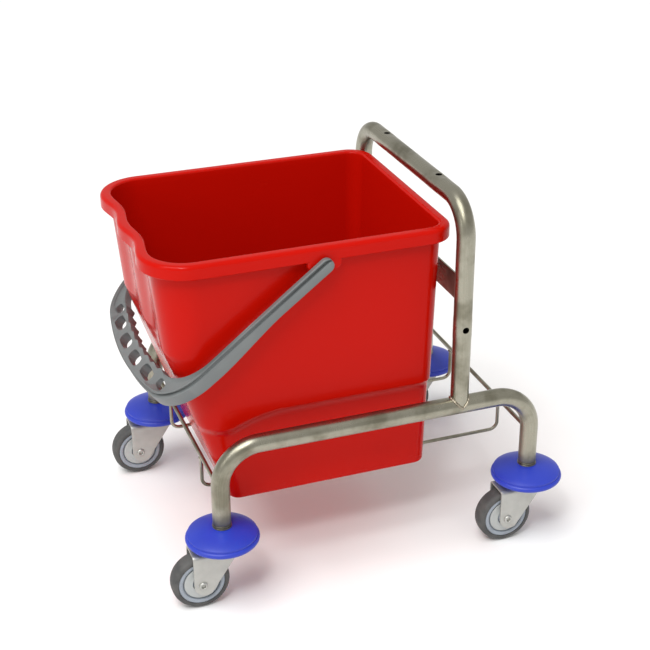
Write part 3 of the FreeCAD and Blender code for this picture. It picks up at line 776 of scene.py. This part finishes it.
def rounded(corners, r, joined=True):
    """Profile whose every corner is cut back by up to r and joined by a parabola, as a list of points."""
    corners = np.array(corners, float)
    t = np.linspace(0, 1, 5)[:, None]
    made = []
    count = len(corners)
    for k in range(count):
        here, back, on = corners[k], corners[k - 1], corners[(k + 1) % count]
        if not joined and k in (0, count - 1):
            made.append(here[None])
            continue
        into, out = back - here, on - here
        cut_in = min(r, 0.45 * np.linalg.norm(into)) / np.linalg.norm(into)
        cut_out = min(r, 0.45 * np.linalg.norm(out)) / np.linalg.norm(out)
        made.append((1 - t) ** 2 * (here + into * cut_in) + 2 * t * (1 - t) * here + t ** 2 * (here + out * cut_out))
    return np.concatenate(made)


blue = Finish("blue_bumper")
place = blue.place()
cloudy = blue.cloud(place, 30.0, 3.0)
grain = blue.cloud(place, 500.0, 2.0)
blue_plastic = blue.shader({
    "Base Color": blue.tint(cloudy, (0.022, 0.05, 0.50), (0.015, 0.035, 0.40)),
    "Roughness": 0.34 + cloudy * 0.12,
    "Normal": blue.bump(grain * 0.5 + cloudy, 0.0002, 0.3),
})

zinc = Finish("zinc_plate")
place = zinc.place()
spangle = zinc.node("ShaderNodeTexVoronoi", {}, {"Vector": place, "Scale": 260.0}, "Color")
frosted = zinc.cloud(place, 60.0, 4.0)
zinc_steel = zinc.shader({
    "Base Color": zinc.tint(frosted, (0.54, 0.54, 0.51), (0.40, 0.40, 0.37)),
    "Metallic": zinc.band(frosted, 0.3, 0.7, 0.75, 0.6),
    "Roughness": 0.38 + frosted * 0.15,
    "Normal": zinc.bump(frosted * 0.7 + zinc.part(spangle, "X") * 0.3, 0.00012, 0.4),
})

rubber = Finish("grey_rubber")
place = rubber.place()
dust = rubber.cloud(place, 45.0, 4.0)
fine = rubber.cloud(place, 700.0, 2.0)
tyre_rubber = rubber.shader({
    "Base Color": rubber.tint(rubber.band(dust, 0.4, 0.7), (0.055, 0.056, 0.056), (0.095, 0.094, 0.09)),
    "Roughness": 0.55 + dust * 0.2,
    "Normal": rubber.bump(fine + dust, 0.0002, 0.35),
})


def pale_plastic(name, light, dark, gloss):
    """Moulded wheel plastic: a slow drift of shade, a few grey smudges, and a fine moulded grain."""
    finish = Finish(name)
    where = finish.place()
    drift = finish.cloud(where, 24.0, 3.0)
    smudge = finish.band(finish.cloud(where, 70.0, 4.0), 0.56, 0.74)
    return finish.shader({
        "Base Color": finish.tint(drift * 0.4 + smudge * 0.5, light, dark),
        "Roughness": gloss + drift * 0.12,
        "Normal": finish.bump(finish.cloud(where, 450.0, 2.0), 0.0002, 0.25),
    })


core_plastic = pale_plastic("wheel_centre", (0.33, 0.37, 0.42), (0.24, 0.27, 0.31), 0.34)
cover_plastic = pale_plastic("thread_cover", (0.47, 0.49, 0.48), (0.36, 0.375, 0.37), 0.42)
hidden_steel = steel("turned_steel", (0.62, 0.62, 0.60), (0.45, 0.45, 0.43), 0.3, 0.95)


def fork_plate(leg, axle, low_z, crown_top, half, plate):
    """Pressed fork as one sheet. Along it u runs up one cheek, over the crown and down the other; across
    it v runs from the upright back edge to the sloping front edge. Below the axle both edges follow a
    circle about the foot, so that each cheek ends round."""
    foot_r, bend = axle[2] - low_z, 6.0
    foot_x = axle[0] + 4.0
    run, rise = leg[0] + 17.0 - foot_x, crown_top - plate - axle[2]
    slant = math.atan2(run, rise) + math.asin(foot_r / math.hypot(run, rise))
    a = np.linspace(0, math.pi / 2, 12)
    levels = np.r_[axle[2] - foot_r * np.cos(a), np.linspace(axle[2], crown_top - bend, 18)[1:]]
    a = np.linspace(0, math.pi / 2, 8)[1:]
    bend_z, bend_y = crown_top - bend + bend * np.sin(a), half - bend + bend * np.cos(a)
    top_y = np.linspace(half - bend, 0, 8)[1:]
    z = np.r_[levels, bend_z, np.full(len(top_y), crown_top)]
    y = np.r_[np.full(len(levels), half), bend_y, top_y]
    z, y = np.r_[z, z[-2::-1]], np.r_[y, -y[-2::-1]]
    round_foot = np.sqrt(np.maximum(foot_r ** 2 - (z - axle[2]) ** 2, 0))
    back = foot_x - np.where(z < axle[2], round_foot, foot_r)
    touch_z = axle[2] - foot_r * math.sin(slant)
    touch_x = foot_x + foot_r * math.cos(slant)
    sloped = touch_x + (z - touch_z) * (leg[0] + 17.0 - touch_x) / (crown_top - plate - touch_z)
    front = np.where(z < touch_z, foot_x + round_foot, np.minimum(sloped, leg[0] + 17.0))
    crown = np.clip((z - crown_top + bend) / bend, 0, 1)
    front = front - 3.0 * crown * (abs(y) / half) ** 3
    v = np.linspace(0, 1, 15)[None]
    x = back[:, None] + (front - back)[:, None] * v
    skin = np.stack([x, leg[1] + np.broadcast_to(y[:, None], x.shape), np.broadcast_to(z[:, None], x.shape)], -1)
    return skin, quads(*x.shape), None


for place_name in [end + "_" + side for end in ("front", "rear") for side in ("left", "right")]:
    leg = centre("stem_" + place_name)
    axle = centre("axle_bush_" + place_name)
    swivel, wheel = "swivel_" + place_name, "wheel_" + place_name
    disc_low, disc_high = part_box("bumper_disc_" + place_name)
    base, top_z = disc_low.z / MM, disc_high.z / MM
    disc_r = (disc_high.y - disc_low.y) / 2 / MM
    foot = np.array([leg[0], leg[1], 0.0])
    up, sideways = (0, 0, 1), (0, 1, 0)

    a = np.linspace(0, math.pi / 2, 16)
    crest = 16.0
    dome_r = crest + (disc_r - crest) * np.sin(a)
    dome_z = base + 7.6 + (top_z - base - 7.6) * (0.5 * np.cos(a) + 0.5 * (1 - (dome_r - crest) / (disc_r - crest)))
    a = np.linspace(0, math.pi, 14)[1:-1]
    nose = np.stack([disc_r - 4.0 + 4.0 * np.sin(a), base + 4.0 + 4.0 * np.cos(a)], -1)
    underside = rounded([(disc_r - 4.0, base), (disc_r - 5, base), (disc_r - 7.5, base + 3.2), (25, base + 4.5),
                          (23, base), (6.1, base)], 1.0, False)
    upper = np.stack([dome_r, dome_z], -1)
    upper = upper[upper[:, 0] < disc_r - 2.5]
    disc_profile = np.concatenate([[(6.1, top_z)], upper, nose, underside])
    piece("bumper_" + place_name, [turned(disc_profile, foot, up, 96, True)], blue_plastic,
          "frame", ["bumper_disc_" + place_name], 45)

    ring = [(13.3, top_z), (13.3, top_z + 1.9), (11.2, top_z + 2.0), (11.2, top_z + 3.5), (12.9, top_z + 3.6),
            (12.9, leg_low - 1.1), (11.5, leg_low - 1.0), (11.5, leg_low), (10.9, leg_low), (10.9, leg_low + 30), (6.1, leg_low + 30), (6.1, top_z)]
    piece("ferrule_" + place_name, [turned(rounded(ring, 0.5), foot, up, 64, True)], tube_steel,
          "frame", ["stem_plug_" + place_name], 40)

    race_low, race_high = (v.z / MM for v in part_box("ball_race_" + place_name))
    middle_z = (race_low + race_high) / 2
    race = [(6.1, race_low), (17, race_low), (20, race_low + 2.4), (20, middle_z - 1), (18, middle_z - 0.4), (18, middle_z + 0.4),
            (19.4, middle_z + 1), (19.4, race_high - 2.4), (17, race_high), (6.1, race_high)]
    piece("race_" + place_name, [turned(rounded(race, 1.2), foot, up, 72, True)], zinc_steel,
          "frame", ["ball_race_" + place_name], 40)

    fork_low, fork_high = (np.array(v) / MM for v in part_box("fork_" + place_name))
    cheek = fork_plate(leg, axle, fork_low[2], fork_high[2], (fork_high[1] - fork_low[1]) / 2, 2.5)
    fork = piece("fork_plate_" + place_name, [cheek], zinc_steel, swivel, ["fork_" + place_name], 50)
    thicken = fork.modifiers.new("plate", "SOLIDIFY")
    thicken.thickness, thicken.offset = 2.5 * MM, -1
    soften = fork.modifiers.new("edge", "BEVEL")
    soften.width, soften.segments = 0.5 * MM, 2
    soften.limit_method, soften.angle_limit = "ANGLE", math.radians(50)

    outer = axle + np.array([0, fork_low[1] - axle[1], 0])
    rivet = rounded([(0, -16.0), (2.6, -16.0), (2.9, 2.4), (4.4, 3.0), (5.8, 1.6), (6.2, 0.0), (4.0, 0.0),
                     (4.0, -34), (0, -34)], 0.7, False)
    piece("axle_rivet_" + place_name, [turned(rivet, outer, (0, -1, 0), 48)], zinc_steel,
          swivel, ["axle_bolt_" + place_name], 50)

    nut_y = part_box("axle_nut_" + place_name)[0].y / MM
    levels = np.array([(4.0, 0.0, 0), (5.9, 0.0, 0), (1.0, 0.6, 1), (1.0, 3.2, 1), (5.9, 5.2, 0), (4.0, 5.4, 0)])
    a = np.linspace(0, 2 * math.pi, 72, endpoint=False)
    hexagon = 6.5 / np.cos(np.mod(a, math.pi / 3) - math.pi / 6)
    radius = np.where(levels[:, 2:] > 0, hexagon[None], np.minimum(levels[:, :1], 6.2))
    along = np.broadcast_to(nut_y + levels[:, 1:2], radius.shape)
    nut_skin = np.stack([axle[0] + radius * np.cos(a), along, axle[2] + radius * np.sin(a)], -1)
    piece("nut_" + place_name, [(nut_skin, quads(len(levels), 72, True, True), None)], zinc_steel,
          swivel, ["axle_nut_" + place_name], 35)

    core = [(6.1, -13.4), (9.5, -13.4), (12, -11), (12, -8.5), (25.8, -8.0), (26.0, -11.2), (28.0, -12.2), (30.0, -12.2), (32, -11.2),
            (32, 11.2), (30.0, 12.2), (28.0, 12.2), (26.0, 11.2), (25.8, 8.0), (12, 8.5), (12, 11), (9.5, 13.4), (6.1, 13.4)]
    piece("centre_" + place_name, [turned(rounded(core, 1.0), axle, sideways, 96, True)], core_plastic,
          wheel, ["wheel_core_" + place_name], 40)

    a = np.linspace(-math.pi / 2, math.pi / 2, 30)
    tread = np.stack([33.0 + 7.0 * np.cos(a) ** 0.85, 12.5 * np.sign(np.sin(a)) * abs(np.sin(a)) ** 0.6], -1)
    tyre = np.concatenate([[(32.0, -11.0), (32.0, -11.8)], tread, [(32.0, 11.8), (32.0, 11.0)]])
    piece("tyre_ring_" + place_name, [turned(tyre, axle, sideways, 120, True)], tyre_rubber,
          wheel, ["tyre_" + place_name], 50)

    for name, sign in (("inner", 1), ("outer", -1)):
        cover = [(12.6, 8.6), (24.3, 8.6), (24.3, 10.4), (22.8, 11.2), (16.0, 11.6), (13.4, 12.4), (12.6, 12.4)]
        piece("cover_" + name + "_" + place_name, [turned(rounded(cover, 0.6), axle, (0, sign, 0), 96, True)], cover_plastic,
              wheel, ["guard_" + name + "_" + place_name], 40)

    for node in ("stem_", "axle_bush_"):
        solid = frame["nodes"][node + place_name]
        solid.data.materials.clear()
        solid.data.materials.append(hidden_steel)
